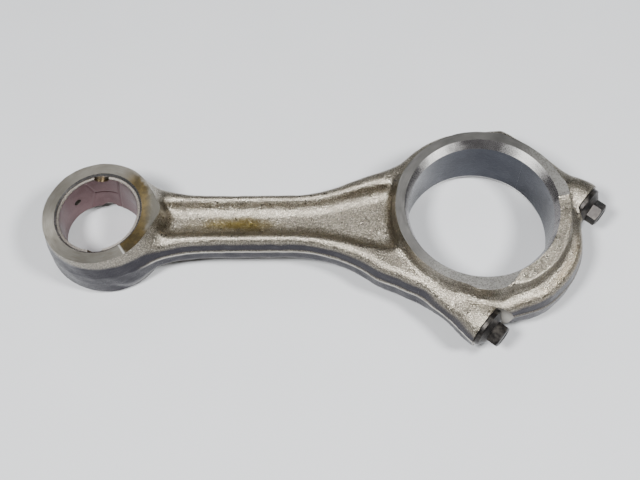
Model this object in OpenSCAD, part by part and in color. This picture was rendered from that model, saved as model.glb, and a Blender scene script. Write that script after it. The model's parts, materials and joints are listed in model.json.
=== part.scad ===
// Connecting rod of a medium-duty six-cylinder diesel engine, with an obliquely split big end.
// Origin: centre of the big-end bore, half way through its thickness.
// +X points from the small end to the big end, +Z along the crankpin. Millimetres.

/* [Big end] */
// Diameter of the crankpin housing bore
big_bore_d = 73; // [72:0.5:74]
// Width over the two machined faces
big_end_w = 38.6; // [37:0.2:40]
// Radius of the machined face's rim
rim_r = 43.7; // [43:0.1:44.2]
// Radial size of the bore's chamfer
big_chamfer_r = 2; // [1:0.5:2.5]
// Axial size of the bore's chamfer
big_chamfer_l = 5.5; // [2:0.5:6]
// Radius of the forging around the bore, on its flash line
shoulder_r = 52; // [51:0.5:53]
// Half thickness of the forging beside the machined rim
shoulder_h = 11; // [10:0.5:12]

/* [Small end] */
// Distance between the two bore centres
centre_distance = 192; // [185:1:200]
// Gudgeon pin diameter, the finished bore of the bush
pin_d = 40; // [39:0.5:40.5]
// Wall thickness of the bush
bush_wall = 1.5; // [1.5:0.1:2]
// Width over the tapered faces, at the pin's centre
small_end_w = 30.6; // [29:0.2:30.6]
// Slope of each tapered face
taper_angle = 7.2; // [6:0.2:7.2]
// Radius of the eye on its flash line
eye_r = 29.5; // [29:0.5:30]
// How far the bush lies below the eye's faces
bush_recess = 1.3; // [0.5:0.1:1.6]
// Diameter of the oil hole
oil_hole_d = 4; // [3:0.5:4.5]
// Direction of the oil hole, from +X
oil_hole_angle = 135; // [120:5:150]

/* [Shank] */
// Width of the shank at its narrowest
shank_w = 29.6; // [28:0.2:31]
// Thickness over the shank's ribs
shank_t = 19; // [18:0.5:20]
// Thickness of the web between the ribs
web_t = 6.5; // [5:0.5:8]
// Width of the hollow between the ribs
hollow_w = 18; // [16:0.5:19]

/* [Cap] */
// Angle of the cap bolts from the rod's length, turned towards -Y
split_angle = 39.5; // [38:0.5:40]
// Distance of each bolt from the bore's centre
bolt_offset = 43.2; // [43:0.1:43.6]
// Height of the bolt seats above the joint face
seat_h = 35.5; // [34:0.5:36]
// Outer radius of the cap's back
crown_r = 54; // [53:0.5:55]

/* [Cap bolts] */
// Thread diameter
bolt_d = 9; // [8:0.5:10]
// Length below the head
bolt_l = 52; // [48:1:52]
// Flange diameter
flange_d = 20.2; // [19:0.2:21]
// Width across the flats of the hexagon
hex_w = 10.8; // [10:0.2:12]
// Height of the whole head
head_h = 10.5; // [9:0.5:12]

/* [Hidden] */
$fn = 96;

steel = [0.60, 0.57, 0.50];
bronze = [0.66, 0.45, 0.36];
black_oxide = [0.12, 0.11, 0.10];
over = 1;
reach = 150;
big_bore_r = big_bore_d / 2;
pin_r = pin_d / 2;
eye_bore_r = pin_r + bush_wall;
// the walls of the forging lean in by this much for each millimetre away from the flash line
draft = 0.12;
thread_clearance = 0.05;
cap_hole_clearance = 0.3;
tapped_depth = bolt_l - seat_h + 1.5;

// ---- outline of the rod on its flash line, y > 0 side unless said ----
flare_small_r = 80;
flare_big_r = 70;
flare_big_x = -97;
boss_wall = 51.5;
upper_boss_back = 21.5;
half_w = shank_w / 2;

// a point given along and across the bolts, in the rod's own X and Y
function from_split(a, t) = [
    a * cos(split_angle) + t * sin(split_angle),
    -a * sin(split_angle) + t * cos(split_angle)
];

// Children are drawn with X along the bolts, away from the rod, and Y across the bolts.
module in_split() {
    rotate([0, 0, -split_angle]) children();
}

// Children are drawn with Z along a bolt, Z = 0 on the joint face.
module on_bolt(side) {
    in_split() translate([0, side * bolt_offset, 0]) rotate([0, 90, 0]) children();
}

// Everything on the cap's side of the joint face.
module cap_side(h) {
    in_split() translate([0, -reach, -h]) cube([reach, 2 * reach, 2 * h]);
}

// The concave flare between the eye and the shank, on one side. It starts a little inside the eye.
module small_flare(side) {
    start_r = eye_r - 0.3;
    rise = half_w + flare_small_r;
    run = sqrt(pow(start_r + flare_small_r, 2) - pow(rise, 2));
    share = start_r / (start_r + flare_small_r);
    translate([-centre_distance, 0]) difference() {
        polygon([[0, 0], [run, 0], [run, side * half_w], share * [run, side * rise]]);
        translate([run, side * rise]) circle(flare_small_r, $fn = 360);
    }
}

// One half of the shank's big end: its flare, which ends where the arm's edge cuts it, and the arm.
module big_flare(side, arm) {
    difference() {
        polygon(concat([[flare_big_x, 0], [flare_big_x, side * half_w]], arm, [[0, 0]]));
        translate([flare_big_x, side * (half_w + flare_big_r)]) circle(flare_big_r, $fn = 360);
    }
}

// The outline of the shank, its flares, the two arms and the upper bolt boss.
module rod_plan() {
    translate([-centre_distance, -half_w]) square([centre_distance, shank_w]);
    small_flare(1);
    small_flare(-1);
    big_flare(-1, [from_split(-24, -57.5), from_split(over, -boss_wall)]);
    big_flare(1, [[-75, 20.8], [-46, 29.5], [-35, 36.5]]);
    polygon([from_split(-upper_boss_back, 0), from_split(-upper_boss_back, boss_wall - over),
        from_split(-upper_boss_back + over, boss_wall), from_split(over, boss_wall), [0, 0]]);
}

// A disc of the forging whose wall leans in from the flash line to its two faces.
module drafted_disc(r, h) {
    rotate_extrude() polygon([[0, -h], [r - draft * h, -h], [r, 0], [r - draft * h, h], [0, h]]);
}

// The teardrop that the eye's faces run out into, towards the shank.
module eye_tip() {
    tip_r = 5;
    tip_x = 26.3;
    face_r = eye_r - draft * small_end_w / 3;
    lean = acos((face_r - tip_r) / tip_x);
    linear_extrude(small_end_w * 2, center = true) {
        polygon([[0, 0], face_r * [cos(lean), sin(lean)], [tip_x, 0.98 * tip_r], [tip_x, -0.98 * tip_r],
            face_r * [cos(lean), -sin(lean)]]);
        translate([tip_x, 0]) circle(tip_r);
    }
}

// The space between two planes that taper towards the end of the rod, sunk below the eye's faces.
module taper_wedge(sink) {
    far = 40;
    fall = far * tan(taper_angle);
    mid = small_end_w / 2 - sink;
    rotate([90, 0, 0]) linear_extrude(2 * far, center = true)
        polygon([[-far, fall - mid], [far, -fall - mid], [far, fall + mid], [-far, mid - fall]]);
}

module eye() {
    translate([-centre_distance, 0, 0]) intersection() {
        union() {
            drafted_disc(eye_r, small_end_w);
            eye_tip();
        }
        taper_wedge(0);
    }
}

// The hollow between the ribs: parallel beside the web, wider towards the big end.
module hollow_plan() {
    end_x = -158;
    corner_r = 6;
    half = hollow_w / 2;
    difference() {
        union() {
            translate([end_x + corner_r, half - corner_r]) circle(corner_r);
            translate([end_x + corner_r, corner_r - half]) circle(corner_r);
            translate([end_x, corner_r - half]) square([60, hollow_w - 2 * corner_r]);
            translate([end_x + corner_r, -half]) square([60, hollow_w]);
            polygon([[flare_big_x, -half], [flare_big_x, half], [-70, 12.2], [-46, 19], [-40, 18], [-36, 0],
                [-36, -12], [-46, -15.5], [-70, -11.8]]);
        }
        circle(rim_r + 1);
    }
}

// The machined rim of the big end, both faces.
module rim() {
    lean = draft * (big_end_w / 2 - shoulder_h);
    rotate_extrude() polygon([[0, -big_end_w / 2], [rim_r, -big_end_w / 2], [rim_r + lean, -shoulder_h],
        [rim_r + lean, shoulder_h], [rim_r, big_end_w / 2], [0, big_end_w / 2]]);
}

// The housing bore with a chamfer at each face.
module big_bore() {
    face = big_end_w / 2;
    rotate_extrude($fn = 180) polygon([[0, -face - over], [big_bore_r + big_chamfer_r, -face - over],
        [big_bore_r + big_chamfer_r, -face], [big_bore_r, big_chamfer_l - face],
        [big_bore_r, face - big_chamfer_l], [big_bore_r + big_chamfer_r, face],
        [big_bore_r + big_chamfer_r, face + over], [0, face + over]]);
}

module oil_hole() {
    translate([-centre_distance, 0, 0]) rotate([0, 90, oil_hole_angle])
        translate([0, 0, pin_r - 3]) cylinder(d = oil_hole_d, h = eye_r, $fn = 48);
}

// Forged rod: tapered eye, I-section shank and the upper half of the big end.
module rod() {
    color(steel) difference() {
        union() {
            linear_extrude(shank_t, center = true) rod_plan();
            eye();
            drafted_disc(shoulder_r, shoulder_h);
            rim();
        }
        for (face = [1, -1]) {
            translate([0, 0, face * (web_t + reach) / 2])
                linear_extrude(reach, center = true) hollow_plan();
        }
        cap_side(big_end_w);
        big_bore();
        translate([-centre_distance, 0, 0]) cylinder(r = eye_bore_r, h = 2 * small_end_w, center = true);
        oil_hole();
        for (side = [1, -1]) {
            on_bolt(side) translate([0, 0, -tapped_depth])
                cylinder(r = bolt_d / 2 + thread_clearance, h = tapped_depth + over);
        }
    }
}

// The column of the cap around one bolt, which spreads out under the bolt's flange.
module bolt_boss(side) {
    neck_r = boss_wall - bolt_offset;
    seat_r = flange_d / 2 + 0.6;
    on_bolt(side) rotate_extrude() polygon([[0, 0], [neck_r, 0], [neck_r, seat_h / 2],
        [seat_r, seat_h - 2], [seat_r, seat_h], [0, seat_h]]);
}

// Forged bearing cap: half of the big end, its thick back and the two bolt columns.
module bearing_cap() {
    spot_face_r = 12;
    column_t = 2 * shoulder_h - 3;
    color(steel) difference() {
        union() {
            intersection() {
                union() {
                    drafted_disc(crown_r, shoulder_h);
                    rim();
                }
                cap_side(big_end_w);
            }
            in_split() translate([0, -boss_wall, -column_t / 2]) cube([seat_h, 2 * boss_wall, column_t]);
            bolt_boss(1);
            bolt_boss(-1);
        }
        big_bore();
        for (side = [1, -1]) {
            on_bolt(side) translate([0, 0, seat_h]) cylinder(r = spot_face_r, h = crown_r);
            on_bolt(side) cylinder(r = bolt_d / 2 + cap_hole_clearance, h = crown_r);
        }
    }
}

// Bronze-lined steel bush, pressed into the eye: tapered ends, an oil hole and four end notches.
module small_end_bush() {
    notch_r = 4;
    color(bronze) difference() {
        translate([-centre_distance, 0, 0]) difference() {
            intersection() {
                cylinder(r = eye_bore_r, h = 2 * small_end_w, center = true);
                taper_wedge(bush_recess);
            }
            cylinder(r = pin_r, h = 3 * small_end_w, center = true);
            for (end = [1, -1]) {
                translate([0, 0, end * (small_end_w / 2 - bush_recess + 1)]) rotate([90, 0, 0])
                    cylinder(r = notch_r, h = 3 * pin_d, center = true);
            }
        }
        oil_hole();
    }
}

// Flanged hexagon bolt that holds the cap, side 1 is the upper one.
module cap_bolt(side) {
    shank_r = bolt_d / 2;
    flange_t = 2.6;
    cone_h = 2;
    point = 1;
    color(black_oxide) on_bolt(side) translate([0, 0, seat_h]) {
        translate([0, 0, -bolt_l]) cylinder(r1 = shank_r - point, r2 = shank_r, h = point);
        translate([0, 0, point - bolt_l]) cylinder(r = shank_r, h = bolt_l - point);
        cylinder(d = flange_d, h = flange_t);
        translate([0, 0, flange_t]) cylinder(d1 = flange_d - 1, d2 = hex_w + 1, h = cone_h);
        intersection() {
            cylinder(d = hex_w / cos(30), h = head_h, $fn = 6);
            translate([0, 0, head_h - hex_w]) cylinder(r1 = hex_w * 1.3, r2 = hex_w * 0.48, h = hex_w);
        }
    }
}

module cap_bolt_upper() {
    cap_bolt(1);
}

module cap_bolt_lower() {
    cap_bolt(-1);
}

rod();
bearing_cap();
small_end_bush();
cap_bolt_upper();
cap_bolt_lower();
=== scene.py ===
"""The looks of a diesel engine's connecting rod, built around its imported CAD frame.

The forging is one smooth solid, modelled as a field: positive inside, negative outside, about one unit
per millimetre. It is turned into a mesh, machined with cutting tools as the real part is, and parted at the
joint. Lengths are in millimetres, in the CAD's frame, until finished() turns them into metres.
"""

import json
import math

import bpy
import numpy as np
from mathutils import Matrix, Vector


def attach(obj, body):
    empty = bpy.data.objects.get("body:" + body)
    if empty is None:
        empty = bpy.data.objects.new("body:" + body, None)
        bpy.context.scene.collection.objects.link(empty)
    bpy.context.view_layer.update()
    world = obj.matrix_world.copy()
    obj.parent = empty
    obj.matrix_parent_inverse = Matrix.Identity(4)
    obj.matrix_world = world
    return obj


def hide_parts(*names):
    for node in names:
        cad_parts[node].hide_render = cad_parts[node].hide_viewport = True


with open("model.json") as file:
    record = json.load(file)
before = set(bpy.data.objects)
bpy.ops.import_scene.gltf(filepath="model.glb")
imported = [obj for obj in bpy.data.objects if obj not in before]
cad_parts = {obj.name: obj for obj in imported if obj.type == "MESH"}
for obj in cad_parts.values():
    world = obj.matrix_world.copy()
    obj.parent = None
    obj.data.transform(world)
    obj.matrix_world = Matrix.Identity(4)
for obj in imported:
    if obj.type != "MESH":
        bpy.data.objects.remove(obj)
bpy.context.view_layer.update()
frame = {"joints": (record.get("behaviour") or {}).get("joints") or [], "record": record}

MM = 0.001
GRID = 0.6
ROUND = 192

# ---------------------------------------------------------------- sizes from the frame
MOUNTS = {m["name"]: m for m in frame["record"]["mounts"]}
JOINTS = {j["name"]: j for j in frame["joints"]}
BORE_R = MOUNTS["big_end_bore"]["dims"]["r_mm"]
PIN_R = MOUNTS["small_end_bore"]["dims"]["r_mm"]
EYE_X = MOUNTS["small_end_bore"]["pos_m"][0] / MM
FACE_Z = MOUNTS["big_end_face_upper"]["pos_m"][2] / MM
BOLT_AXIS = Vector(JOINTS["cap_slide"]["axis"]).normalized()
SPLIT = math.atan2(-BOLT_AXIS.y, BOLT_AXIS.x)

# ---------------------------------------------------------------- sizes of the forging
DRAFT = 0.12
EYE_R = 29.4
EYE_FACE_R = 28.2
EYE_HALF_W = 15.3
EYE_TAPER = math.radians(7.2)
EYE_BORE_R = 21.5
TIP_R = 7.5
TIP_X = 24.6
SHANK_HALF_W = 14.8
RIB_H = 9.6
WEB_H = 3.3
SHOULDER_H = 11.0
SHOULDER_R = 50.8
CROWN_R = 55.1
BOLT_T = 43.2
SEAT_A = 35.5
BOLT_R = 4.5
PITCH = 1.25
FLANGE_R = 10.1
HEX_W = 10.8
HEAD_H = 10.5
SPOT_R = 12.0
CHAMFER_R = 2.0
CHAMFER_L = 5.5
BUSH_RECESS = 1.3
OIL_ANGLE = math.radians(135)


# ================================================================ plane geometry
def from_split(a, t):
    """A point given along and across the bolts, in the frame's own X and Y."""
    return (
        a * math.cos(SPLIT) + t * math.sin(SPLIT),
        -a * math.sin(SPLIT) + t * math.cos(SPLIT),
    )


def arc(cx, cy, r, start, end, step=4.0):
    """Points along an arc. Angles are in degrees, and it runs whichever way end lies from start."""
    n = max(2, int(abs(end - start) / step) + 1)
    turn = np.radians(np.linspace(start, end, n))
    return [(cx + r * math.cos(q), cy + r * math.sin(q)) for q in turn]


def eye_to_shank(side):
    """From the far end of the eye, round it and along the flare to where the shank is straight."""
    flare_r = 80.0
    rise = SHANK_HALF_W + flare_r
    run = math.sqrt((EYE_R + flare_r) ** 2 - rise**2)
    meet = math.degrees(math.atan2(rise, run))
    points = arc(EYE_X, 0, EYE_R, 180, meet)
    points += arc(EYE_X + run, rise, flare_r, 180 + meet, 270, 2.0)
    return [(x, side * y) for x, y in points]


def shank_to_arm(side, turn):
    """The flare at the big end of the shank, up to where the arm's own edge begins."""
    flare_x, flare_r = -97.0, 70.0
    points = arc(flare_x, SHANK_HALF_W + flare_r, flare_r, 270, 270 + turn, 2.0)
    return [(x, side * y) for x, y in points]


def column_wall(side):
    """The outer wall of a bolt column, from the joint face to the bolt's seat."""
    run = [(2, 51.2), (8, 50.9), (15, 51.0), (22, 51.5), (29, 52.5), (34, 53.1), (SEAT_A + 0.8, 53.3)]
    waist = 1.4 if side > 0 else 0.0
    return [from_split(a, side * (t - waist * math.exp(-(((a - 23) / 8) ** 2)))) for a, t in run]


def crown_back():
    """The cap's back between the bolt seats: fullest in the middle."""
    points = []
    for turn in np.linspace(36, -36, 37):
        r = CROWN_R - 2.4 * ramp(abs(turn), 12, 36) - 0.9 * turn / 36
        q = math.radians(turn)
        points.append(from_split(r * math.cos(q), r * math.sin(q)))
    return points


def forging_outline():
    """The flash line of the whole forging, rod and cap together, as a closed ring of points."""
    corner = SEAT_A + 0.8
    upper = eye_to_shank(1) + shank_to_arm(1, 24)
    upper += [(-57, 25.1), (-46, 28.9), (-40, 32.2)]
    upper += arc(0, 0, SHOULDER_R, 137, 88)
    upper += [from_split(-23.0, 48.6), from_split(-21.3, 49.8), from_split(-8, 50.9)]
    upper += column_wall(1) + [from_split(corner, 38.0), from_split(42.0, 33.5)]
    lower = eye_to_shank(-1)[1:] + shank_to_arm(-1, 39)
    lower += [(-48.6, -32.5), (-43.2, -34.6), (-37.6, -37.6), from_split(0, -51.4)]
    lower += column_wall(-1) + [from_split(corner, -38.0), from_split(42.0, -33.5)]
    return upper + crown_back() + lower[::-1]


def hollow_outline():
    """The edge of the hollow between the ribs, at the height of the rib tops."""
    end_x, corner, half = -164.0, 6.5, 9.4
    side = arc(end_x + corner, half - corner, corner, 180, 90, 15.0)
    side += [(-97, half), (-88, 9.7), (-80, 10.5), (-70, 12.8), (-60, 15.6)]
    side += [(-51, 17.6), (-44, 18.0), (-38, 15.0), (-34, 8.0)]
    return side + [(x, -y) for x, y in reversed(side)]


# ================================================================ fields
def distance(points, x, y):
    """Signed distance to a closed outline, positive inside."""
    x, y = np.broadcast_arrays(x, y)
    best = np.full(x.shape, 1e12)
    inside = np.zeros(x.shape, bool)
    for (x0, y0), (x1, y1) in zip(points, points[1:] + points[:1]):
        ex, ey = x1 - x0, y1 - y0
        wx, wy = x - x0, y - y0
        share = np.clip((wx * ex + wy * ey) / (ex * ex + ey * ey + 1e-12), 0, 1)
        best = np.minimum(best, (wx - ex * share) ** 2 + (wy - ey * share) ** 2)
        crosses = (y0 > y) != (y1 > y)
        with np.errstate(divide="ignore", invalid="ignore"):
            inside ^= crosses & (x < ex * (y - y0) / (ey + 1e-12) + x0)
    return np.where(inside, 1, -1) * np.sqrt(best)


def soften(values, width):
    """Rounds a plane field's corners by averaging over a few cells, along both axes."""
    cells = max(1, int(round(width / GRID)))
    for axis in (0, 1):
        for _ in range(3):
            total = np.zeros_like(values)
            for shift in range(-cells, cells + 1):
                total += np.roll(values, shift, axis)
            values = total / (2 * cells + 1)
    return values


def both(a, b, k):
    """Where two solids overlap, with the edge between them rounded over about k."""
    h = np.maximum(k - np.abs(a - b), 0) / k
    return np.minimum(a, b) - h * h * k * 0.25


def either(a, b, k):
    """Two solids joined, with a fillet of about k where they meet."""
    return -both(-a, -b, k)


def ramp(value, low, high):
    """0 below low, 1 above high, smooth between. low may be the larger."""
    s = np.clip((value - low) / (high - low), 0, 1)
    return s * s * (3 - 2 * s)


def waves(x, y, z, seed, lengths, height):
    """Gentle unevenness: plane waves in seeded random directions."""
    rng = np.random.default_rng(seed)
    total = 0
    for length in lengths:
        d = rng.normal(size=3)
        d *= 2 * math.pi / (length * np.linalg.norm(d))
        total = total + np.sin(x * d[0] + y * d[1] + z * d[2] + rng.uniform(0, 6.28))
    return total * (height / math.sqrt(len(lengths)))


def teardrop(x, y, r):
    """Distance inside the eye's face outline: a disc drawn out to a small round tip along +X."""
    lean = (r - TIP_R) / TIP_X
    rise = math.sqrt(1 - lean * lean)
    ay = np.abs(y)
    k = -lean * ay + rise * x
    on_line = ay * rise + x * lean - r
    near = np.hypot(x, ay) - r
    far = np.hypot(x - TIP_X, ay) - TIP_R
    return -np.where(k < 0, near, np.where(k > rise * TIP_X, far, on_line))


def rim_radius(x, y):
    """Radius of the rim's wall at its face: fuller on the cap and where it meets the bolt columns."""
    turn = np.degrees(np.arctan2(y, x)) + math.degrees(SPLIT)
    turn = (turn + 180) % 360 - 180
    side = np.abs(turn)
    fuller = 2.1 * ramp(side, 66, 55) - 0.9 * np.exp(-(((side - 33) / 6) ** 2))
    return 43.4 + fuller * (1 - 0.4 * ramp(turn, -5, 20)) + 0.8 * np.exp(-(((turn - 113) / 5) ** 2))


def rim_top(x, y):
    """Height of the forged rim before facing: the pad on the cap's back stays below the machined face."""
    turn = np.degrees(np.arctan2(y, x))
    pad = ramp(turn + 2.2 * (np.hypot(x, y) - 41), -80, -64) * ramp(turn, 14, 5)
    return FACE_Z + 0.9 - 1.25 * pad


def top_height(x, y, r, a, t):
    """Height of the forging's top, without rim, eye and hollow."""
    h = RIB_H + (SHOULDER_H - RIB_H) * ramp(r, 78, 56)
    h = h - 2.2 * ramp(np.abs(t), 20, 33) * ramp(a, 26, 38)
    saddle = np.exp(-(((a - 17) / 9) ** 2)) * ramp(np.abs(t), 41, 48)
    curve = 8.5
    gap = np.clip(curve + teardrop(x - EYE_X, y, EYE_FACE_R), 0, curve)
    rise = (curve - np.sqrt(curve**2 - gap**2)) * ramp(x - EYE_X, 5, 15)
    return h - 2.4 * saddle + rise


def forging_field(x, y, z):
    """The whole forging, rod and cap in one."""
    r = np.hypot(x, y)
    a = x * math.cos(SPLIT) - y * math.sin(SPLIT)
    t = x * math.sin(SPLIT) + y * math.cos(SPLIT)
    az = np.abs(z)
    plan = soften(distance(forging_outline(), x, y), 0.6)
    flash = 0.45 * np.exp(-((az / 0.85) ** 2)) * ramp(x, -182, -164)
    wall = plan - DRAFT * np.maximum(z, 0) + flash
    body = both(wall, top_height(x, y, r, a, t) - az, 3.5 + 1.5 * ramp(z, -4, 4))

    for side in (1, -1):
        spread = 7.4 + 3.1 * ramp(a, 17, 34.5)
        column = spread - np.sqrt((side * t - BOLT_T) ** 2 + z * z)
        column = both(column, SEAT_A + 0.9 - a, 0.5)
        body = either(body, both(column, a - 8, 3.0), 4.0)

    hollow = soften(distance(hollow_outline(), x, y), 0.6) - 0.30 * (RIB_H - az)
    web = WEB_H - az
    body = both(body, either(-hollow, web, 6.0), 3.0)

    near_hollow = ramp(x, -30, -38) * ramp(np.abs(y), 26, 16)
    rim = both(rim_radius(x, y) + 0.13 * (FACE_Z - az) - r, rim_top(x, y) - az, 0.8)
    body = either(body, rim, 3.2 + 3.5 * near_hollow)

    slope = (EYE_R - EYE_FACE_R) / EYE_HALF_W
    eye = teardrop(x - EYE_X, y, EYE_FACE_R) + slope * (EYE_HALF_W - np.maximum(z, 0))
    eye = eye + 0.10 * np.maximum(18 - az, 0) * ramp(x - EYE_X, 14, 26)
    eye = both(eye, 20.6 - az, 1.0)
    body = either(body, eye, 0.3 + 4.7 * ramp(x - EYE_X, 2, 20))
    uneven = waves(x, y, z, 7, [26, 21, 17, 14, 11, 9], 0.08)
    return body + uneven + waves(x, y, z, 8, [5.5, 4.7, 4.1, 3.6, 3.1, 2.8], 0.025)


# ================================================================ field to mesh
EDGES = [
    (c, c | b)
    for b in (1, 2, 4)
    for c in range(8)
    if not c & b
]


def cell_points(values, cells):
    """One point in each cell that the surface crosses: the mean of where its edges are crossed."""
    steps = np.array([[c & 1, c >> 1 & 1, c >> 2 & 1] for c in range(8)])
    corner = np.stack([values[tuple((cells + s).T)] for s in steps], 1)
    total = np.zeros((len(cells), 3))
    count = np.zeros(len(cells))
    for p, q in EDGES:
        crossed = (corner[:, p] > 0) != (corner[:, q] > 0)
        gap = np.where(crossed, corner[:, p] - corner[:, q], 1)
        share = (corner[:, p] / gap)[:, None]
        total += np.where(crossed[:, None], steps[p] + share * (steps[q] - steps[p]), 0)
        count += crossed
    return cells + total / count[:, None]


def surface(values, low):
    """A closed mesh of quads over the zero surface of a field sampled on the grid."""
    inside = values > 0
    some = np.zeros(tuple(n - 1 for n in values.shape), bool)
    every = np.ones_like(some)
    for c in range(8):
        part = inside[tuple(slice(c >> k & 1, n - 1 + (c >> k & 1)) for k, n in enumerate(values.shape))]
        some |= part
        every &= part
    cells = np.argwhere(some & ~every)
    index = np.full(some.shape, -1)
    index[tuple(cells.T)] = np.arange(len(cells))
    quads = []
    for axis in range(3):
        ahead = np.take(inside, range(1, values.shape[axis]), axis)
        here = np.take(inside, range(values.shape[axis] - 1), axis)
        at = np.argwhere(ahead != here)
        leaving = here[tuple(at.T)]
        u, v = np.eye(3, dtype=int)[(axis + 1) % 3], np.eye(3, dtype=int)[(axis + 2) % 3]
        ring = np.stack([index[tuple((at - s).T)] for s in (u + v, v, 0 * u, u)], 1)
        ring[~leaving] = ring[~leaving][:, ::-1]
        quads.append(ring)
    points = cell_points(values, cells) * GRID + low
    return points, np.concatenate(quads)


# ================================================================ solids
def new_object(name, points, faces, zones=0):
    """An object in the scene, in millimetres until finished(). zones gives its faces their materials."""
    mesh = bpy.data.meshes.new(name)
    if isinstance(faces, np.ndarray):
        faces = faces.tolist()
    mesh.from_pydata(np.asarray(points, float).tolist(), [], faces)
    marks = np.broadcast_to(np.asarray(zones, np.int32), len(faces))
    mesh.polygons.foreach_set("material_index", np.ascontiguousarray(marks))
    for looks in MATERIALS.values():
        mesh.materials.append(looks)
    obj = bpy.data.objects.new(name, mesh)
    bpy.context.scene.collection.objects.link(obj)
    return obj


def zone(name):
    """The number of a material among a mesh's slots."""
    return list(MATERIALS).index(name)


def circle(r, height, n=ROUND):
    """A ring of points about the Z axis. r and height are numbers, or one value for each point."""
    turn = turns(n)
    return np.stack([r * np.cos(turn), r * np.sin(turn), np.broadcast_to(height, n)], 1)


def turns(n=ROUND):
    """Angles once round, evenly spaced."""
    return np.arange(n) * (2 * math.pi / n)


def ring_solid(name, rings, marks, closed=False):
    """A solid skinned over rings of points, lowest first. marks[k] is the material after ring k.
    The end rings are filled in, or with closed the last ring is joined to the first."""
    n = len(rings[0])
    count = len(rings)
    here = np.arange(n)
    ahead = (here + 1) % n
    faces = []
    zones = []
    for k in range(count if closed else count - 1):
        low, up = k * n, (k + 1) % count * n
        faces += np.stack([low + here, low + ahead, up + ahead, up + here], 1).tolist()
        zones += [zone(marks[k])] * n
    if not closed:
        faces += [here[::-1].tolist(), (here + (count - 1) * n).tolist()]
        zones += [zone(marks[0]), zone(marks[-1])]
    return new_object(name, np.concatenate(rings), faces, zones)


def lathe(name, profile, n=ROUND):
    """A solid of revolution about Z from (radius, height, material of the stretch above) rows."""
    rings = [circle(r, h, n) for r, h, _ in profile]
    return ring_solid(name, rings, [m for _, _, m in profile])


def move(obj, change):
    """Passes an object's points through a function of an array of points."""
    co = np.empty(len(obj.data.vertices) * 3)
    obj.data.vertices.foreach_get("co", co)
    obj.data.vertices.foreach_set("co", change(co.reshape(-1, 3)).ravel())
    obj.data.update()
    return obj


def bolt_place(side):
    """The change that stands a solid made about Z on a bolt's axis, its heights counted from the joint."""
    def change(p):
        x, y = from_split(p[:, 2], p[:, 0] + side * BOLT_T)
        return np.stack([x, y, p[:, 1]], 1)
    return change


def box(name, low, high, mark):
    """A box between two corners."""
    (x0, y0, _), (x1, y1, _) = low, high
    corners = [(x0, y0), (x1, y0), (x1, y1), (x0, y1)]
    rings = [np.array([(x, y, z) for x, y in corners]) for z in (low[2], high[2])]
    return ring_solid(name, rings, [mark, mark])


def combine(target, tool, operation="DIFFERENCE"):
    """Changes target by a boolean with a closed tool mesh. New faces keep the tool's materials."""
    step = target.modifiers.new("cut", "BOOLEAN")
    step.operation = operation
    step.solver = "MANIFOLD"
    step.object = tool
    step.material_mode = "TRANSFER"
    graph = bpy.context.evaluated_depsgraph_get()
    mesh = bpy.data.meshes.new_from_object(target.evaluated_get(graph))
    target.modifiers.clear()
    old = target.data
    target.data = mesh
    bpy.data.meshes.remove(old)
    bpy.data.objects.remove(tool)
    return target


def finished(obj, name, sharp_angle=32.0):
    """Names a piece, turns it into metres, and shades it smooth with sharp edges where materials change."""
    mesh = obj.data
    obj.name = name
    mesh.name = name
    mesh.transform(Matrix.Scale(MM, 4))
    edges = np.empty(len(mesh.loops), np.int64)
    mesh.loops.foreach_get("edge_index", edges)
    sizes = np.empty(len(mesh.polygons), np.int64)
    mesh.polygons.foreach_get("loop_total", sizes)
    marks = np.empty(len(mesh.polygons), np.int32)
    mesh.polygons.foreach_get("material_index", marks)
    normals = np.empty(len(mesh.polygons) * 3)
    mesh.polygons.foreach_get("normal", normals)
    owner = np.repeat(np.arange(len(sizes)), sizes)[np.argsort(edges, kind="stable")]
    pair = owner.reshape(-1, 2)
    n = normals.reshape(-1, 3)
    turn = np.einsum("ij,ij->i", n[pair[:, 0]], n[pair[:, 1]])
    sharp = (turn < math.cos(math.radians(sharp_angle))) | (marks[pair[:, 0]] != marks[pair[:, 1]])
    mesh.shade_smooth()
    layer = mesh.attributes.get("sharp_edge") or mesh.attributes.new("sharp_edge", "BOOLEAN", "EDGE")
    layer.data.foreach_set("value", sharp)
    used = sorted(set(marks.tolist()))
    kept = [mesh.materials[k] for k in used]
    mesh.materials.clear()
    for looks in kept:
        mesh.materials.append(looks)
    mesh.polygons.foreach_set("material_index", np.searchsorted(used, marks).astype(np.int32))
    mesh.update()
    return obj


# ================================================================ the forging
def forging():
    """The raw forging, before it is machined and split."""
    low = np.array([EYE_X - 32, -70.0, -21.6])
    high = np.array([68.0, 60.0, 21.6])
    counts = np.ceil((high - low) / GRID).astype(int) + 1
    xs, ys, zs = (low[k] + GRID * np.arange(counts[k]) for k in range(3))
    values = forging_field(xs[:, None, None], ys[None, :, None], zs[None, None, :])
    points, quads = surface(np.asarray(values), low)
    return new_object("forging", points, quads, zone("skin"))


def eye_height(r, turn, drop):
    """Height of a ring of radius r on the eye's tapered face, or drop below it."""
    return EYE_HALF_W - drop + r * np.cos(turn) * math.tan(EYE_TAPER)


def to_eye(p):
    """Moves points made about the origin to the eye."""
    return p + np.array([EYE_X, 0.0, 0.0])


def face_big_end(blank):
    """Machines both sides of the big end flat."""
    for side in (1, -1):
        near, far = sorted((side * FACE_Z, side * (FACE_Z + 20)))
        combine(blank, box("facing", (-70, -75, near), (80, 75, far), "faced"))


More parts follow.
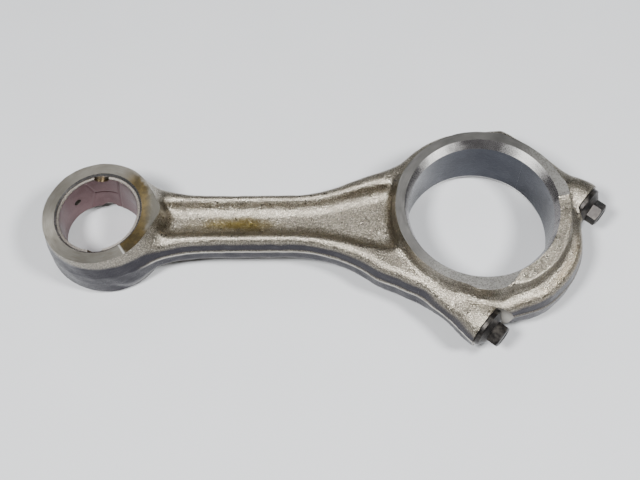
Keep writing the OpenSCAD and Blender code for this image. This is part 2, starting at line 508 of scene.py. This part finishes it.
def face_eye(blank):
    """Grinds the eye's two faces, which lean towards the end of the rod."""
    ends = [(-45, -42), (50, -42), (50, 42), (-45, 42)]
    for side in (1, -1):
        slope = [side * (EYE_HALF_W + x * math.tan(EYE_TAPER)) for x, _ in ends]
        leaning = np.array([(EYE_X + x, y, z) for (x, y), z in zip(ends, slope)])
        flat = np.array([(EYE_X + x, y, side * 45.0) for x, y in ends])
        rings = [leaning, flat] if side > 0 else [flat, leaning]
        combine(blank, ring_solid("grinding", rings, ["ground", "ground"]))


def bore_big_end(blank):
    """Bores and hones the big end, with a long chamfer at each face and a broken edge."""
    rows = [
        (BORE_R + CHAMFER_R + 0.25, -30.0, "chamfer"),
        (BORE_R + CHAMFER_R + 0.25, -FACE_Z, "chamfer"),
        (BORE_R + CHAMFER_R - 0.05, 0.35 - FACE_Z, "chamfer"),
        (BORE_R, CHAMFER_L - FACE_Z, "honed"),
        (BORE_R, FACE_Z - CHAMFER_L, "chamfer"),
        (BORE_R + CHAMFER_R - 0.05, FACE_Z - 0.35, "chamfer"),
        (BORE_R + CHAMFER_R + 0.25, FACE_Z, "chamfer"),
        (BORE_R + CHAMFER_R + 0.25, 30.0, "chamfer"),
    ]
    combine(blank, lathe("boring", rows))


def bore_eye(blank):
    """Bores the eye for its bush, with a small chamfer that follows each tapered face."""
    turn = turns()
    rows = [(1.0, -8.0), (1.0, 0.0), (0.0, 1.0)]
    rings = [circle(EYE_BORE_R + grow, -eye_height(EYE_BORE_R, turn, drop)) for grow, drop in rows]
    rings += [circle(EYE_BORE_R + grow, eye_height(EYE_BORE_R, turn, drop)) for grow, drop in rows[::-1]]
    marks = ["chamfer", "chamfer", "machined", "chamfer", "chamfer", "chamfer"]
    tool = ring_solid("eye boring", rings, marks)
    combine(blank, move(tool, to_eye))


def oil_drill(inner, outer, mouth):
    """A drill for the oil hole, from inside the eye outwards, widening at its outer mouth."""
    rows = [(2.0, inner, "machined"), (2.0, outer - mouth, "machined"), (2.0 + mouth, outer, "machined"),
            (2.0 + mouth, outer + 4, "machined")]
    c, s = math.cos(OIL_ANGLE), math.sin(OIL_ANGLE)

    def lay(p):
        return np.stack([p[:, 2] * c - p[:, 0] * s + EYE_X, p[:, 2] * s + p[:, 0] * c, p[:, 1]], 1)

    return move(lathe("drill", rows, 48), lay)


def joint_tool(shift):
    """Everything beyond the joint, with the fine uneven face of a fracture."""
    step = 1.0
    half_t, half_z, depth = 78, 27, 95.0
    ts = np.arange(-half_t, half_t + step, step)
    zs = np.arange(-half_z, half_z + step, step)
    t, z = np.meshgrid(ts, zs, indexing="ij")
    rise = waves(t, z, 0 * t, 21, [17, 11, 7.3, 4.9, 3.7, 2.9], 0.055)
    near = np.stack([t, z, rise + shift], -1).reshape(-1, 3)
    far = near.copy()
    far[:, 2] = depth
    nt, nz = len(ts), len(zs)
    k = np.arange(nt * nz).reshape(nt, nz)
    grid = np.stack([k[:-1, :-1], k[1:, :-1], k[1:, 1:], k[:-1, 1:]], -1).reshape(-1, 4)
    rim = np.concatenate([k[:-1, 0], k[-1, :-1], k[:0:-1, -1], k[0, :0:-1]])
    ahead = np.roll(rim, -1)
    m = nt * nz
    faces = np.concatenate([grid[:, ::-1], grid + m, np.stack([rim, ahead, ahead + m, rim + m], 1)])
    obj = new_object("joint", np.concatenate([near, far]), faces, zone("fracture"))
    return move(obj, bolt_place(0))


def thread(turn, along, pitch, root, crest):
    """Radius of a screw thread at each turn, at a place along it."""
    phase = (along / pitch - turn / (2 * math.pi)) % 1.0
    return root + (crest - root) * np.clip(1.3 * np.abs(2 * phase - 1) - 0.15, 0, 1)


def tap(side):
    """A tool for a tapped hole in the rod, threaded to its bottom."""
    n = ROUND // 2
    turn = turns(n)
    step = PITCH / 8
    depth, point_r = 18.0, 3.6
    along = np.arange(-depth, -0.7, step)
    rings = [circle(point_r, -depth - 0.5, n)]
    rings += [circle(thread(turn, a, PITCH, BOLT_R + 0.06, BOLT_R + 0.5), a, n) for a in along]
    rings += [circle(BOLT_R + 0.7, -0.4, n), circle(BOLT_R + 1.1, 0.05, n), circle(BOLT_R + 1.1, 6.0, n)]
    return move(ring_solid("tap", rings, ["machined"] * len(rings)), bolt_place(side))


def cap_drill(side):
    """A tool for a cap bolt's clearance hole, its edges broken at both ends."""
    r = BOLT_R + 0.3
    rows = [(r + 0.7, -4.0), (r + 0.7, 0.0), (r, 0.7)]
    rows += [(r, SEAT_A - 0.6), (r + 0.6, SEAT_A), (r + 0.6, SEAT_A + 4)]
    return move(lathe("cap drill", [(r, h, "machined") for r, h in rows], ROUND // 2), bolt_place(side))


def spot_facer(side):
    """A cutter that makes the flat seat for a bolt's flange, and the hollow beside it."""
    rows = [(SPOT_R - 0.7, SEAT_A), (SPOT_R - 0.2, SEAT_A + 0.2)]
    rows += [(SPOT_R, SEAT_A + 0.7), (SPOT_R, SEAT_A + 50)]
    return move(lathe("spot facer", [(r, h, "machined") for r, h in rows]), bolt_place(side))


def copy_of(obj):
    """A separate object with its own copy of the mesh."""
    twin = obj.copy()
    twin.data = obj.data.copy()
    bpy.context.scene.collection.objects.link(twin)
    return twin


def rod_and_cap():
    """Machines the forging, then parts it at the joint and drills each half for the bolts."""
    rod = forging()
    face_big_end(rod)
    face_eye(rod)
    bore_big_end(rod)
    bore_eye(rod)
    combine(rod, oil_drill(10.0, 29.2, 0.8))
    cap = copy_of(rod)
    combine(rod, joint_tool(-0.015))
    combine(cap, joint_tool(0.015), "INTERSECT")
    for side in (1, -1):
        combine(rod, tap(side))
        combine(cap, spot_facer(side))
        combine(cap, cap_drill(side))
    finished(rod, "rod_forging")
    finished(cap, "cap_forging")
    return rod, cap


# ================================================================ bush and bolts
def bush_lines(turn, z):
    """Depth of the faint lines inside the bush: its butt joint, and a shallow worn path across it."""
    q = (np.degrees(turn) + 180) % 360 - 180
    mm = math.radians(PIN_R)
    joint = np.exp(-(((q - 68.6 + 0.25 * z) * mm / 0.4) ** 2))
    level = np.exp(-(((z - 1.2) / 0.5) ** 2)) * ramp(q, 70, 72) * ramp(q, 107, 105)
    vee = np.exp(-(((q - 105.5 - 0.8 * np.abs(z - 1.2)) * mm / 0.5) ** 2)) * ramp(np.abs(z), 12.5, 11)
    return 0.3 * joint + 0.25 * level + 0.25 * vee


def bush():
    """The bush: a lined tube whose ends follow the eye's tapered faces, notched and drilled."""
    n = 2 * ROUND
    turn = turns(n)
    out_r, in_r = EYE_BORE_R - 0.02, PIN_R
    sink = BUSH_RECESS
    outer = [(out_r - 0.2, sink, -1), (out_r, sink + 0.3, -1), (out_r, sink + 0.3, 1), (out_r - 0.2, sink, 1)]
    rings = [circle(r, side * eye_height(out_r, turn, drop), n) for r, drop, side in outer]
    marks = ["bush back", "bush back", "bush back", "bush edge"]
    rings.append(circle(in_r + 0.25, eye_height(in_r, turn, sink), n))
    marks.append("bush edge")
    rows = 110
    half = eye_height(in_r, turn, sink + 0.4)
    for share in np.linspace(1, -1, rows):
        z = share * half
        rings.append(circle(in_r + bush_lines(turn, z), z, n))
        marks.append("lining")
    marks[-1] = "bush edge"
    rings.append(circle(in_r + 0.25, -eye_height(in_r, turn, sink), n))
    marks.append("bush edge")
    tube = move(ring_solid("bush", rings, marks, closed=True), to_eye)
    for end in (1, -1):
        height = end * (EYE_HALF_W - BUSH_RECESS + 1)
        drill = lathe("notch", [(4.0, -50.0, "notch"), (4.0, 50.0, "notch")], 64)
        combine(tube, move(drill, lambda p: np.stack([p[:, 0] + EYE_X, -p[:, 2], p[:, 1] + height], 1)))
    combine(tube, oil_drill(10.0, 30.0, 0.0))
    return finished(tube, "bush_lining")


def bolt_shank(side):
    """A bolt from its point to the top of its flange, threaded at the end and waisted along the middle."""
    n = ROUND // 2
    turn = turns(n)
    step = PITCH / 8
    rings = [circle(3.2, -16.5, n), circle(3.7, -16.1, n)]
    for a in np.arange(-15.8, 7.0, step):
        rings.append(circle(thread(turn, a, PITCH, BOLT_R - 0.75, BOLT_R - 0.05), a, n))
    plain = [(3.8, 7.4), (4.25, 8.2), (4.25, 33.0), (4.45, 34.7), (4.6, SEAT_A + 0.02),
             (FLANGE_R - 0.3, SEAT_A + 0.02), (FLANGE_R, SEAT_A + 0.35), (FLANGE_R, SEAT_A + 2.1),
             (FLANGE_R - 0.35, SEAT_A + 2.6), (FLANGE_R - 1.1, SEAT_A + 2.85), (7.4, SEAT_A + 4.2),
             (6.4, SEAT_A + 4.8)]
    rings += [circle(r, a, n) for r, a in plain]
    return ring_solid("bolt", rings, ["oxide"] * len(rings))


def bolt_head(twist):
    """The hexagon, turned by twist degrees: flats, a chamfered top and a shallow dish."""
    corner = HEX_W / 2 / math.cos(math.pi / 6)
    turn = np.radians(np.arange(30, 390, 60) + twist)
    ring = np.stack([corner * np.cos(turn), corner * np.sin(turn)], 1)
    top = SEAT_A + HEAD_H
    prism = ring_solid("hexagon", [np.column_stack([ring, np.full(6, h)]) for h in (SEAT_A + 1.5, top + 2)],
                       ["oxide", "oxide"])
    dome = [(8.0, SEAT_A), (8.0, top - 1.9), (5.1, top - 0.15), (4.8, top), (3.9, top), (3.5, top - 0.35),
            (0.4, top - 0.4)]
    dome = [(r, h, "oxide") for r, h in dome]
    return combine(prism, lathe("dome", dome, ROUND // 2), "INTERSECT")


def cap_bolt(side, twist, name):
    """A whole bolt in its place."""
    bolt = combine(bolt_shank(side), bolt_head(twist), "UNION")
    return finished(move(bolt, bolt_place(side)), name, 28.0)


# ================================================================ materials
class Looks:
    """Builds one material's node tree."""

    def __init__(self, name, **fixed):
        self.material = bpy.data.materials.new(name)
        self.material.use_nodes = True
        self.tree = self.material.node_tree
        self.shader = self.tree.nodes["Principled BSDF"]
        for socket, value in fixed.items():
            self.shader.inputs[socket.replace("_", " ").title()].default_value = value
        place = self.tree.nodes.new("ShaderNodeTexCoord").outputs["Object"]
        self.place = self.node("ShaderNodeVectorMath", {0: place, "Scale": 1 / MM}, operation="SCALE")
        split = self.tree.nodes.new("ShaderNodeSeparateXYZ")
        self.tree.links.new(self.place, split.inputs[0])
        self.x, self.y, self.z = split.outputs

    def node(self, kind, inputs, output=0, **settings):
        """A node of this kind, linked or set from a table of its inputs. Gives its output."""
        made = self.tree.nodes.new(kind)
        for key, value in settings.items():
            setattr(made, key, value)
        for key, value in inputs.items():
            if isinstance(value, bpy.types.NodeSocket):
                self.tree.links.new(value, made.inputs[key])
            else:
                made.inputs[key].default_value = value
        return made.outputs[output]

    def math(self, operation, a, b=0.0, c=0.0):
        return self.node("ShaderNodeMath", {0: a, 1: b, 2: c}, operation=operation)

    def noise(self, size, detail=2.0, roughness=0.5, place=None):
        """Noise whose features are about size millimetres."""
        inputs = {"Vector": place or self.place, "Scale": 1 / size, "Detail": detail, "Roughness": roughness}
        return self.node("ShaderNodeTexNoise", inputs)

    def ramp(self, value, low, high, start=0.0, end=1.0):
        """A smooth step from start to end as value goes from low to high."""
        inputs = {"Value": value, 1: low, 2: high, 3: start, 4: end}
        return self.node("ShaderNodeMapRange", inputs, interpolation_type="SMOOTHSTEP")

    def mix(self, share, a, b):
        """A colour between a and b."""
        inputs = {"Factor": share, 6: a, 7: b}
        return self.node("ShaderNodeMix", inputs, 2, data_type="RGBA")

    def near(self, value, centre, width):
        """1 where value is at centre, falling to 0 at width from it."""
        gap = self.math("ABSOLUTE", self.math("SUBTRACT", value, centre))
        return self.ramp(gap, width, 0.0)

    def times(self, *values):
        total = values[0]
        for value in values[1:]:
            total = self.math("MULTIPLY", total, value)
        return total

    def polar(self, cx):
        """Distance and angle in degrees about an axis along Z at cx."""
        x = self.math("SUBTRACT", self.x, cx)
        squares = self.math("ADD", self.math("MULTIPLY", x, x), self.math("MULTIPLY", self.y, self.y))
        r = self.math("SQRT", squares)
        turn = self.math("MULTIPLY", self.math("ARCTAN2", self.y, x), 180 / math.pi)
        return r, turn

    def past_joint(self):
        """Distance from the joint, growing into the cap."""
        return self.math("MULTIPLY_ADD", self.x, BOLT_AXIS.x, self.math("MULTIPLY", self.y, BOLT_AXIS.y))

    def lay(self, cx):
        """Turns the grain of the metal round an axis along Z at cx."""
        x = self.math("SUBTRACT", self.x, cx)
        back = self.math("MULTIPLY", self.y, -1.0)
        along = self.node("ShaderNodeCombineXYZ", {0: back, 1: x, 2: 0.0})
        unit = self.node("ShaderNodeVectorMath", {0: along}, operation="NORMALIZE")
        self.tree.links.new(unit, self.shader.inputs["Tangent"])

    def bump(self, *steps):
        """Fine relief: pairs of a height socket and its depth in millimetres."""
        total = self.times(steps[0][0], steps[0][1])
        for height, depth in steps[1:]:
            total = self.math("MULTIPLY_ADD", height, depth, total)
        normal = self.node("ShaderNodeBump", {"Height": total, "Distance": MM, "Strength": 1.0})
        self.tree.links.new(normal, self.shader.inputs["Normal"])

    def finish(self, colour, roughness):
        self.tree.links.new(colour, self.shader.inputs["Base Color"])
        self.tree.links.new(roughness, self.shader.inputs["Roughness"])
        return self.material


def skin():
    """Shot-peened forging: warm grey and grainy, with painted shade on the steep outer walls, an oil stain
    and a bright flash line.
    """
    g = Looks("forged_skin", metallic=1.0)
    grain = g.noise(0.6, 1.5, 0.6)
    pits = g.noise(1.5, 1.0, 0.5)
    cloud = g.noise(22.0, 3.0, 0.55)
    colour = g.mix(g.ramp(cloud, 0.35, 0.65), (0.275, 0.246, 0.193, 1), (0.365, 0.33, 0.264, 1))
    colour = g.mix(g.ramp(grain, 0.58, 0.42, 0.0, 0.65), colour, (0.09, 0.081, 0.07, 1))
    colour = g.mix(g.ramp(grain, 0.56, 0.68, 0.0, 0.55), colour, (0.66, 0.62, 0.54, 1))
    wander = g.noise(7.0, 3.0, 0.6)
    stain_x, stain_y, stain_l, stain_w = -123.5, -1.5, 25.0, 5.0
    across = g.math("MULTIPLY", g.math("ADD", g.y, -stain_y), 1 / stain_w)
    along = g.math("MULTIPLY", g.math("ADD", g.x, -stain_x), 1 / stain_l)
    spread = g.math("SQRT", g.math("ADD", g.times(across, across), g.times(along, along)))
    soaked = g.ramp(g.math("ADD", spread, g.math("MULTIPLY", wander, 0.9)), 1.65, 0.6)
    stain = g.times(soaked, g.ramp(g.z, 1.0, 2.5), g.ramp(g.z, 7.5, 5.0), 0.85)
    colour = g.mix(stain, colour, (0.12, 0.085, 0.012, 1))
    r, turn = g.polar(0.0)
    crown = g.times(g.ramp(r, 47.0, 51.0), g.near(turn, -38.0, 55.0), g.ramp(wander, 0.35, 0.65), 0.4)
    colour = g.mix(crown, colour, (0.26, 0.19, 0.10, 1))
    # Painted shade: the steep outer walls are darkened, less so high on the rim. This stands in for the dark
    # surroundings they reflect.
    upright = g.node("ShaderNodeSeparateXYZ", {0: g.node("ShaderNodeTexCoord", {}, 1)}, 2)
    steep = g.ramp(g.math("ABSOLUTE", upright), 0.55, 0.15)
    lower = g.ramp(g.z, 11.0, 8.0, 0.2, 0.97)
    beside = g.math("ADD", g.math("ABSOLUTE", g.y), g.ramp(g.x, -95.0, -45.0, 0.0, -9.5))
    ends = g.math("MAXIMUM", g.ramp(g.x, -40.0, -34.0), g.ramp(g.x, -176.0, -182.0))
    outside = g.math("MAXIMUM", g.ramp(beside, 10.5, 13.0, 0.4, 1.0), ends)
    painted_wall_shade = g.times(steep, lower, outside)
    colour = g.mix(painted_wall_shade, colour, (0.024, 0.023, 0.031, 1))
    ragged = g.math("MULTIPLY_ADD", g.math("SUBTRACT", g.noise(2.2, 3.0, 0.6), 0.5), 1.6, g.z)
    before_seat = g.ramp(g.past_joint(), SEAT_A + 4, SEAT_A, 0.12, 1.0)
    reach = g.times(g.ramp(g.x, -174.0, -163.0), before_seat)
    flash = g.times(g.near(ragged, 0.0, 0.9), steep, reach)
    colour = g.mix(flash, colour, (0.60, 0.57, 0.50, 1))
    calm = g.math("MULTIPLY_ADD", painted_wall_shade, -0.8, 1.0)
    g.bump((g.times(grain, calm), 0.36), (g.times(pits, calm), 0.05))
    return g.finish(colour, g.ramp(g.noise(3.0, 2.0, 0.5), 0.3, 0.7, 0.27, 0.37))


def faced():
    """The big end's machined face: fine circular marks, lighter and grainier on the cap."""
    g = Looks("faced_steel", metallic=1.0, anisotropic=0.25)
    r, turn = g.polar(0.0)
    rings = g.noise(0.35, 2.0, 0.6, g.node("ShaderNodeCombineXYZ", {0: r, 1: g.math("MULTIPLY", turn, 0.03)}))
    cloud = g.noise(14.0, 3.0, 0.5)
    grain = g.noise(0.7, 2.0, 0.6)
    on_cap = g.ramp(g.past_joint(), -9.0, 5.0)
    rod_side = g.mix(g.ramp(cloud, 0.3, 0.7), (0.20, 0.195, 0.187, 1), (0.27, 0.263, 0.25, 1))
    rod_side = g.mix(g.times(g.ramp(rings, 0.4, 0.75), 0.3), rod_side, (0.38, 0.37, 0.35, 1))
    cap_side = g.mix(g.ramp(grain, 0.35, 0.6), (0.25, 0.242, 0.225, 1), (0.42, 0.41, 0.385, 1))
    colour = g.mix(on_cap, rod_side, cap_side)
    g.lay(0.0)
    g.bump((rings, 0.03), (grain, g.ramp(on_cap, 0.0, 1.0, 0.03, 0.14)))
    return g.finish(colour, g.ramp(rings, 0.3, 0.7, 0.34, 0.46))


def ground():
    """The eye's ground faces, browned with burnt oil on the side towards the shank, with one painted
    highlight streak.
    """
    g = Looks("ground_steel", metallic=1.0, anisotropic=0.6)
    r, turn = g.polar(EYE_X)
    rings = g.noise(0.3, 2.0, 0.6, g.node("ShaderNodeCombineXYZ", {0: r, 1: g.math("MULTIPLY", turn, 0.02)}))
    cloud = g.noise(9.0, 3.0, 0.55)
    edge = g.noise(4.0, 4.0, 0.65)
    colour = g.mix(g.ramp(cloud, 0.3, 0.7), (0.28, 0.26, 0.222, 1), (0.35, 0.33, 0.288, 1))
    colour = g.mix(g.times(g.ramp(rings, 0.4, 0.75), 0.3), colour, (0.55, 0.53, 0.48, 1))
    reach = g.math("MULTIPLY_ADD", g.math("SUBTRACT", edge, 0.5), 5.0, r)
    near_bush = g.ramp(reach, 28.8, 26.2)
    lower_side = g.ramp(g.math("ABSOLUTE", g.math("ADD", turn, 40.0)), 22.0, 12.0)
    inner = g.math("MAXIMUM", near_bush, lower_side)
    brown = g.times(g.ramp(turn, -56.5, -55.0), g.ramp(turn, 66.0, 40.0), inner)
    shade = g.mix(g.ramp(edge, 0.35, 0.65), (0.055, 0.036, 0.006, 1), (0.12, 0.08, 0.018, 1))
    colour = g.mix(g.times(brown, 0.88), colour, shade)
    colour = g.mix(g.ramp(g.x, EYE_X + 23.0, EYE_X + 28.0, 0.0, 0.85), colour, (0.10, 0.095, 0.08, 1))
    # Painted highlight: a thin bright radial streak at -57.5 degrees, standing in for the lamp light that the
    # circular lay catches.
    line = g.times(g.near(turn, -57.5, 1.6), g.ramp(r, 21.0, 22.0))
    colour = g.mix(line, colour, (0.85, 0.83, 0.78, 1))
    g.lay(EYE_X)
    g.bump((rings, 0.008), (g.noise(0.8, 2.0, 0.6), 0.012))
    return g.finish(colour, g.math("MULTIPLY_ADD", brown, 0.1, g.ramp(rings, 0.3, 0.7, 0.34, 0.42)))


def honed():
    """The big end's bore: a fine cross-hatch left by honing, on a colour painted very dark as a painted
    reflection of dark surroundings.
    """
    g = Looks("honed_steel", metallic=1.0, anisotropic=0.5)
    turn = g.polar(0.0)[1]
    run = g.math("MULTIPLY", turn, math.radians(BORE_R))
    marks = []
    for lean in (0.6, -0.6):
        skew = g.math("MULTIPLY_ADD", run, lean, g.z)
        drawn_out = g.node("ShaderNodeCombineXYZ", {0: skew, 1: g.math("MULTIPLY", run, 0.05)})
        marks.append(g.noise(0.3, 2.0, 0.6, drawn_out))
    hatch = g.math("ADD", *marks)
    cloud = g.noise(18.0, 3.0, 0.5)
    # Painted reflection: the base colour is far darker than steel, standing in for the dark surroundings the
    # bore reflects.
    colour = g.mix(g.ramp(cloud, 0.3, 0.7), (0.024, 0.026, 0.035, 1), (0.038, 0.041, 0.052, 1))
    colour = g.mix(g.times(g.ramp(hatch, 0.9, 1.3), 0.3), colour, (0.075, 0.08, 0.095, 1))
    g.lay(0.0)
    g.bump((hatch, 0.012))
    return g.finish(colour, g.ramp(hatch, 0.7, 1.3, 0.20, 0.30))


def chamfered():
    """The chamfers of the bores: two bright painted highlights, dull between, darkest on the left with
    painted shade.
    """
    g = Looks("chamfered_steel")
    turn = g.polar(0.0)[1]
    wander = g.noise(5.0, 3.0, 0.6)
    about = g.math("MULTIPLY_ADD", g.math("SUBTRACT", wander, 0.5), 14.0, turn)
    # Painted highlights: two bright patches, at about 123 and 49 degrees, where lamp reflections are painted
    # in; they are also made less metallic.
    bright = g.math("MAXIMUM", g.near(about, 123.0, 26.0), g.near(about, 49.0, 27.0))
    colour = g.mix(g.ramp(wander, 0.3, 0.7), (0.15, 0.142, 0.145, 1), (0.23, 0.22, 0.22, 1))
    colour = g.mix(bright, colour, (0.97, 0.96, 0.92, 1))
    # Painted shade: the left side of the chamfers is darkened.
    left = g.near(turn, 180.0, 45.0)
    colour = g.mix(g.times(left, 0.8), colour, (0.10, 0.098, 0.095, 1))
    g.tree.links.new(g.math("MULTIPLY_ADD", bright, -0.65, 0.8), g.shader.inputs["Metallic"])
    grain = g.noise(0.5, 2.0, 0.6)
    g.bump((grain, 0.015))
    return g.finish(colour, g.ramp(grain, 0.3, 0.7, 0.22, 0.34))


def machined(name, dark, light, low, high, relief=0.02):
    """Turned, drilled and chamfered steel."""
    g = Looks(name, metallic=1.0)
    cloud = g.noise(6.0, 3.0, 0.55)
    grain = g.noise(0.4, 2.0, 0.6)
    colour = g.mix(g.ramp(cloud, 0.3, 0.7), dark, light)
    g.bump((grain, relief))
    return g.finish(colour, g.ramp(grain, 0.3, 0.7, low, high))


def fracture():
    """The joint's broken faces: bright, granular steel."""
    g = Looks("fractured_steel", metallic=1.0)
    grain = g.noise(0.5, 4.0, 0.7)
    cloud = g.noise(5.0, 3.0, 0.6)
    colour = g.mix(g.ramp(cloud, 0.3, 0.7), (0.33, 0.32, 0.31, 1), (0.46, 0.45, 0.43, 1))
    g.bump((grain, 0.35), (cloud, 0.3))
    return g.finish(colour, g.ramp(grain, 0.3, 0.7, 0.38, 0.55))


def lining():
    """The bush's copper-coloured lining, clouded with wear."""
    g = Looks("copper_lining", metallic=1.0)
    cloud = g.noise(6.0, 4.0, 0.6)
    squeezed = g.node("ShaderNodeVectorMath", {0: g.place, 1: (1.0, 1.0, 6.0)}, operation="MULTIPLY")
    smear = g.noise(0.6, 2.0, 0.6, squeezed)
    colour = g.mix(g.ramp(cloud, 0.35, 0.65), (0.10, 0.052, 0.055, 1), (0.155, 0.092, 0.096, 1))
    colour = g.mix(g.times(g.ramp(smear, 0.4, 0.8), 0.4), colour, (0.22, 0.155, 0.155, 1))
    g.bump((smear, 0.02), (cloud, 0.05))
    return g.finish(colour, g.ramp(cloud, 0.3, 0.7, 0.30, 0.44))


def oxide():
    """Black oxide on the bolts, worn grey in places."""
    g = Looks("black_oxide", metallic=0.85)
    wear = g.noise(3.5, 3.0, 0.55)
    grain = g.noise(0.5, 2.0, 0.6)
    colour = g.mix(g.ramp(wear, 0.42, 0.75), (0.020, 0.018, 0.017, 1), (0.085, 0.078, 0.07, 1))
    g.bump((grain, 0.10), (wear, 0.04))
    return g.finish(colour, g.ramp(wear, 0.3, 0.7, 0.30, 0.46))


def all_materials():
    return {
        "skin": skin(),
        "faced": faced(),
        "ground": ground(),
        "honed": honed(),
        "chamfer": chamfered(),
        "machined": machined("turned_steel", (0.30, 0.28, 0.25, 1), (0.42, 0.40, 0.36, 1), 0.30, 0.42),
        "fracture": fracture(),
        "lining": lining(),
        "bush edge": machined("bush_edge", (0.74, 0.66, 0.58, 1), (0.84, 0.77, 0.69, 1), 0.26, 0.34, 0.004),
        "notch": machined("bush_notch", (0.10, 0.075, 0.045, 1), (0.20, 0.16, 0.10, 1), 0.30, 0.44),
        "bush back": machined("bush_back", (0.40, 0.38, 0.35, 1), (0.50, 0.48, 0.45, 1), 0.28, 0.40),
        "oxide": oxide(),
    }


# ================================================================ setting
def floor():
    """A plain pale floor, just under the lowest point of the part."""
    z, half = -FACE_Z - 0.2, 3000
    corners = np.array([(-half, -half, z), (half, -half, z), (half, half, z), (-half, half, z)])
    mesh = bpy.data.meshes.new("floor")
    mesh.from_pydata((corners * MM).tolist(), [], [(0, 1, 2, 3)])
    g = Looks("floor", metallic=0.0)
    colour = g.mix(g.noise(60.0, 2.0, 0.5), (0.55, 0.56, 0.575, 1), (0.58, 0.59, 0.605, 1))
    mesh.materials.append(g.finish(colour, g.ramp(g.noise(30.0), 0.3, 0.7, 0.68, 0.74)))
    obj = bpy.data.objects.new("floor", mesh)
    bpy.context.scene.collection.objects.link(obj)


def light(name, where, size, power, aim=(-0.06, 0.0, 0.0)):
    """A round soft light, in metres and watts."""
    data = bpy.data.lights.new(name, "AREA")
    data.shape = "DISK"
    data.size = size
    data.energy = power
    obj = bpy.data.objects.new(name, data)
    obj.location = where
    obj.rotation_mode = "QUATERNION"
    obj.rotation_quaternion = (Vector(aim) - Vector(where)).to_track_quat("-Z", "Y")
    bpy.context.scene.collection.objects.link(obj)


def sky():
    """A faint even light from all round."""
    world = bpy.data.worlds.new("world")
    world.use_nodes = True
    world.node_tree.nodes["Background"].inputs["Color"].default_value = (0.55, 0.57, 0.60, 1)
    world.node_tree.nodes["Background"].inputs["Strength"].default_value = 0.16
    bpy.context.scene.world = world


def camera():
    """The camera, in metres, at the viewing angle fitted to the object's edges."""
    data = bpy.data.cameras.new("camera")
    data.sensor_width = 36.0
    data.lens = 64.15
    data.clip_start = 0.01
    data.clip_end = 10.0
    cam = bpy.data.objects.new("camera", data)
    bpy.context.scene.collection.objects.link(cam)
    ahead = Vector((-0.00204, 0.45022, -0.89291)).normalized()
    right = Vector((1.0, -0.00517, -0.00489))
    right = (right - ahead * right.dot(ahead)).normalized()
    axes = Matrix((right, right.cross(ahead), -ahead)).transposed()
    place = Vector((-0.07975, -0.26942, 0.51742))
    cam.matrix_world = Matrix.Translation(place) @ axes.to_4x4()
    bpy.context.scene.camera = cam


MATERIALS = all_materials()

rod_piece, cap_piece = rod_and_cap()
for piece, body, nodes, slot in (
    (rod_piece, "rod", ["rod"], "forged_steel"),
    (cap_piece, "bearing_cap", ["bearing_cap"], "forged_steel"),
    (bush(), "rod", ["small_end_bush"], "bush_bronze"),
    (cap_bolt(1, 2, "cap_bolt_upper_steel"), "cap_bolt_upper", ["cap_bolt_upper"], "black_oxide_steel"),
    (cap_bolt(-1, 23, "cap_bolt_lower_steel"), "cap_bolt_lower", ["cap_bolt_lower"], "black_oxide_steel"),
):
    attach(piece, body)
    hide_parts(*nodes)

floor()
light("left", (-0.45, -0.36, 0.95), 0.22, 19)
light("right", (0.45, -0.24, 0.90), 0.22, 15)
light("back", (-0.35, 0.75, 0.95), 0.6, 2.5)
sky()
camera()
